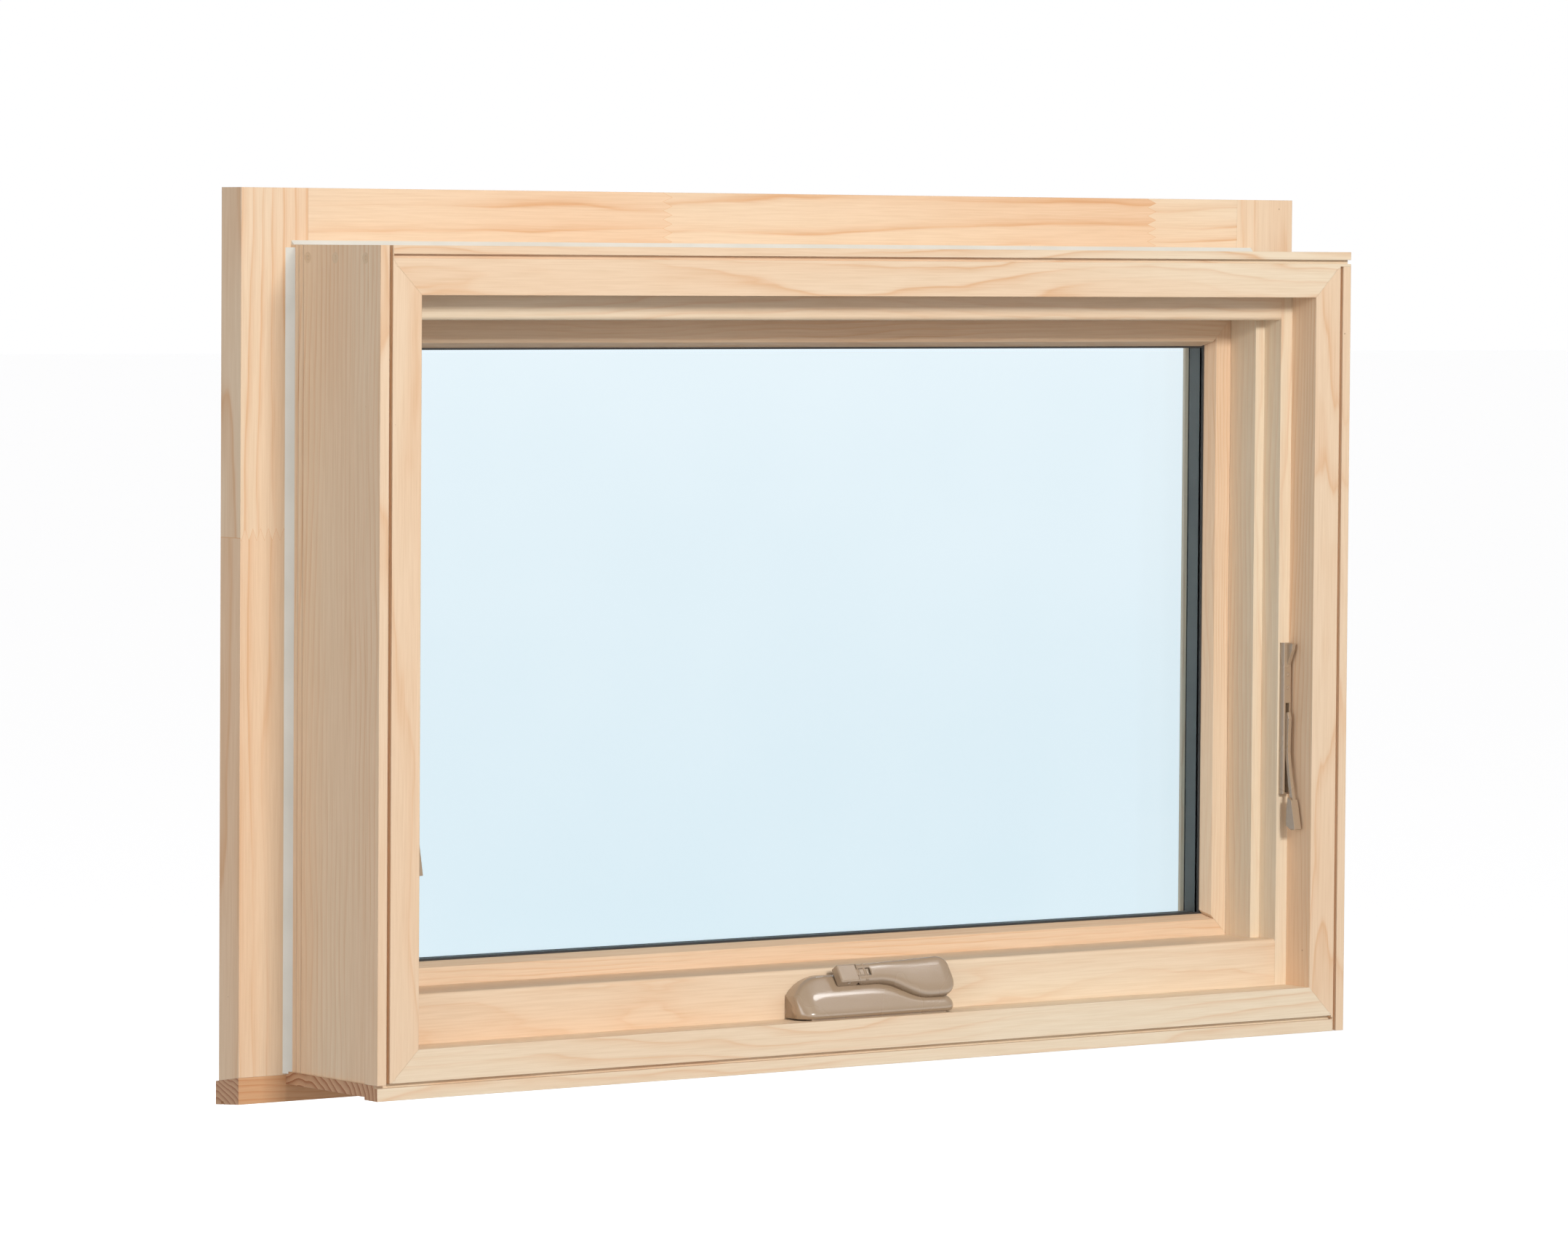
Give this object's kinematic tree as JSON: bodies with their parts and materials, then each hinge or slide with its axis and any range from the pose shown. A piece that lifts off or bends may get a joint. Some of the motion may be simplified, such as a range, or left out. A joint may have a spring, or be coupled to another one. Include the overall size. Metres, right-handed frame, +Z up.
{
  "type": "awning window with crank",
  "caption": "Pine awning window: frame with flat outside casing, glazed sash swung out on side arms by a crank operator on the sill, lever lock on each side.",
  "frame": {"origin": "middle of the sill seat, the flat underside of the frame that stands on the rough opening", "axes": "+X to the right seen from the room, +Y from the room to the outside, +Z up"},
  "size_m": [0.97, 0.1455, 0.6488],
  "materials": {
    "pine": "unfinished sanded clear pine",
    "pine_casing": "unfinished finger-jointed pine",
    "hardware_enamel": "semi-gloss baked enamel",
    "steel": "bright plated",
    "glass": "clear low-emissivity",
    "spacer": "dark grey foam spacer",
    "black_rubber": "matt",
    "sealant": "smooth cured sealant",
    "weather_bulb": "soft matt bulb"
  },
  "bodies": {
    "frame": {"jamb_left": "pine", "jamb_right": "pine", "head_jamb": "pine", "sill": "pine", "side_stop_left": "pine", "side_stop_right": "pine", "head_stop": "pine", "sill_stop": "pine", "sill_stop_cap": "pine", "weatherstrip": "weather_bulb", "casing_left": "pine_casing", "casing_right": "pine_casing", "casing_head": "pine_casing", "sill_nosing": "pine_casing", "sealant_bead": "sealant", "casing_nails": "steel", "frame_screws": "steel", "hinge_track_left": "steel", "hinge_track_right": "steel", "track_screws": "steel", "operator_cover": "hardware_enamel", "operator_base": "hardware_enamel", "operator_screws": "steel", "lock_plate_left": "hardware_enamel", "lock_plate_right": "hardware_enamel", "lock_fasteners": "hardware_enamel"},
    "sash": {"sash_stile_left": "pine", "sash_stile_right": "pine", "sash_rail_bottom": "pine", "sash_rail_top": "pine", "glass_inner": "glass", "glass_outer": "glass", "glass_spacer": "spacer", "glazing_gasket": "black_rubber", "glazing_beads_side": "pine", "glazing_beads_rail": "pine", "setting_blocks": "black_rubber", "sash_bar_left": "steel", "sash_bar_right": "steel", "sash_screws": "steel", "pull_bracket": "steel", "pull_pin": "steel"},
    "arm_left": {"support_arm_left": "steel"},
    "arm_right": {"support_arm_right": "steel"},
    "shoe_left": {"hinge_shoe_left": "steel"},
    "shoe_right": {"hinge_shoe_right": "steel"},
    "pull": {"pull_bar": "steel"},
    "link_left_inner": {"inner_link_left": "steel"},
    "link_left_outer": {"outer_link_left": "steel"},
    "link_right_inner": {"inner_link_right": "steel"},
    "link_right_outer": {"outer_link_right": "steel"},
    "crank": {"spindle": "steel", "crank_hub": "hardware_enamel", "hub_set_screw": "steel"},
    "handle": {"handle_arm": "hardware_enamel", "handle_pins": "hardware_enamel"},
    "knob": {"handle_knob": "hardware_enamel"},
    "lever_left": {"lock_lever_left": "hardware_enamel"},
    "lever_right": {"lock_lever_right": "hardware_enamel"}
  },
  "joints": [
    {"name": "arm_left_swing", "type": "hinge", "parent": "frame", "child": "arm_left", "pos_m": [-0.41975, 0.026, 0.0416], "axis": [-1, 0, 0], "range_deg": [0, 40]},
    {"name": "sash_tilt", "type": "hinge", "parent": "arm_left", "child": "sash", "pos_m": [-0.41975, 0.026, 0.3039], "axis": [1, 0, 0], "range_deg": [0, 80]},
    {"name": "arm_right_swing", "type": "hinge", "parent": "frame", "child": "arm_right", "pos_m": [0.41975, 0.026, 0.0416], "axis": [-1, 0, 0], "range_deg": [0, 40]},
    {"name": "shoe_left_turn", "type": "hinge", "parent": "sash", "child": "shoe_left", "pos_m": [-0.4234, 0.026, 0.5662], "axis": [-1, 0, 0], "range_deg": [0, 40]},
    {"name": "shoe_right_turn", "type": "hinge", "parent": "sash", "child": "shoe_right", "pos_m": [0.4234, 0.026, 0.5662], "axis": [-1, 0, 0], "range_deg": [0, 40]},
    {"name": "pull_bar_turn", "type": "hinge", "parent": "sash", "child": "pull", "pos_m": [-0.024, 0.026, 0.0416], "axis": [-1, 0, 0], "range_deg": [0, 40]},
    {"name": "link_left_swing", "type": "hinge", "parent": "frame", "child": "link_left_inner", "pos_m": [-0.04, 0.004, 0.036], "axis": [0, 0, -1], "range_deg": [0, 38]},
    {"name": "link_left_elbow", "type": "hinge", "parent": "link_left_inner", "child": "link_left_outer", "pos_m": [-0.32036, 0.015, 0.0375], "axis": [0, 0, 1], "range_deg": [0, 76]},
    {"name": "link_right_swing", "type": "hinge", "parent": "frame", "child": "link_right_inner", "pos_m": [-0.008, 0.004, 0.036], "axis": [0, 0, 1], "range_deg": [0, 38]},
    {"name": "link_right_elbow", "type": "hinge", "parent": "link_right_inner", "child": "link_right_outer", "pos_m": [0.27236, 0.015, 0.0375], "axis": [0, 0, -1], "range_deg": [0, 76]},
    {"name": "crank_spin", "type": "hinge", "parent": "frame", "child": "crank", "pos_m": [-0.024, -0.03895, 0.06075], "axis": [0, -0.8387, 0.5446], "range_deg": [0, 2880]},
    {"name": "handle_fold", "type": "hinge", "parent": "crank", "child": "handle", "pos_m": [-0.0086, -0.04558, 0.06505], "axis": [0, -0.5446, -0.8387], "range_deg": [0, 150]},
    {"name": "knob_spin", "type": "hinge", "parent": "handle", "child": "knob", "pos_m": [0.0544, -0.04425, 0.05883], "axis": [0, -0.8387, 0.5446], "continuous": true},
    {"name": "lock_left_lever", "type": "hinge", "parent": "frame", "child": "lever_left", "pos_m": [-0.4048, -0.0342, 0.2375], "axis": [-1, 0, 0], "range_deg": [0, 120]},
    {"name": "lock_right_lever", "type": "hinge", "parent": "frame", "child": "lever_right", "pos_m": [0.4048, -0.0342, 0.2375], "axis": [-1, 0, 0], "range_deg": [0, 120]}
  ],
  "couplings": [
    {"joint": "arm_left_swing", "follows": "sash_tilt", "ratio": 0.5},
    {"joint": "arm_right_swing", "follows": "sash_tilt", "ratio": 0.5},
    {"joint": "shoe_left_turn", "follows": "sash_tilt", "ratio": 0.5},
    {"joint": "shoe_right_turn", "follows": "sash_tilt", "ratio": 0.5},
    {"joint": "pull_bar_turn", "follows": "sash_tilt", "ratio": 0.5},
    {"joint": "link_left_swing", "follows": "sash_tilt", "ratio": 0.46963},
    {"joint": "link_left_elbow", "follows": "sash_tilt", "ratio": 0.93926},
    {"joint": "link_right_swing", "follows": "sash_tilt", "ratio": 0.46963},
    {"joint": "link_right_elbow", "follows": "sash_tilt", "ratio": 0.93926},
    {"joint": "crank_spin", "follows": "sash_tilt", "ratio": 36}
  ]
}
